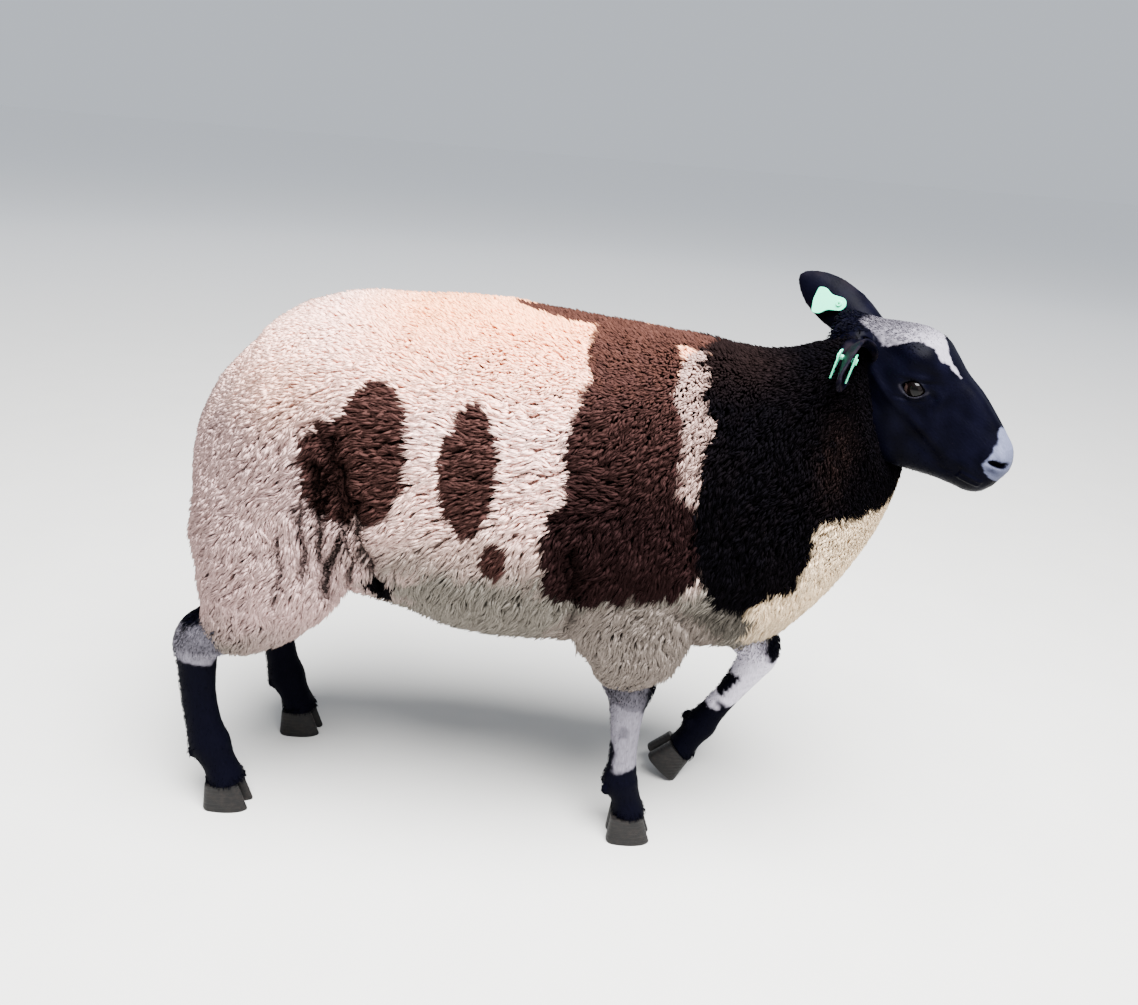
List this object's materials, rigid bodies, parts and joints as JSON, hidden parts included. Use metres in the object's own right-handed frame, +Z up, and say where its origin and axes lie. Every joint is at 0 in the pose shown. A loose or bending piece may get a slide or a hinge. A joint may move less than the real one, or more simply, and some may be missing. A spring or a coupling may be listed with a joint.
{
  "type": "dutch spotted sheep",
  "caption": "Still, life-size spotted sheep in full fleece, walking with its head turned and an ear tag in each ear.",
  "frame": {"origin": "on the ground under the middle of the sheep's bounding box", "axes": "+X the way the sheep faces, +Y its left side, +Z up"},
  "size_m": [1.0982, 0.4385, 0.8385],
  "materials": {
    "fleece": "cream and dark brown wool in patches, springy and matt",
    "short_hair": "short black hair with white marks, slightly glossy",
    "eye": "wet, dark brown with a level pupil",
    "claw_horn": "dark horn with fine growth rings",
    "tag": "mint green moulded plastic, bare"
  },
  "bodies": {
    "root": {"torso": "fleece", "neck": "fleece", "tail": "fleece", "leg_fore_right_upper": "fleece", "leg_fore_right_lower": "short_hair", "leg_fore_left_upper": "fleece", "leg_fore_left_lower": "short_hair", "leg_hind_right_upper": "fleece", "leg_hind_right_lower": "short_hair", "leg_hind_left_upper": "fleece", "leg_hind_left_lower": "short_hair", "head": "short_hair", "ear_right": "short_hair", "ear_left": "short_hair", "eye_right": "eye", "eye_left": "eye", "tag_right_inner": "tag", "tag_right_outer": "tag", "tag_left_inner": "tag", "tag_left_outer": "tag", "claw_fore_right_inner": "claw_horn", "claw_fore_right_outer": "claw_horn", "claw_fore_left_inner": "claw_horn", "claw_fore_left_outer": "claw_horn", "claw_hind_right_inner": "claw_horn", "claw_hind_right_outer": "claw_horn", "claw_hind_left_inner": "claw_horn", "claw_hind_left_outer": "claw_horn"}
  },
  "joints": []
}
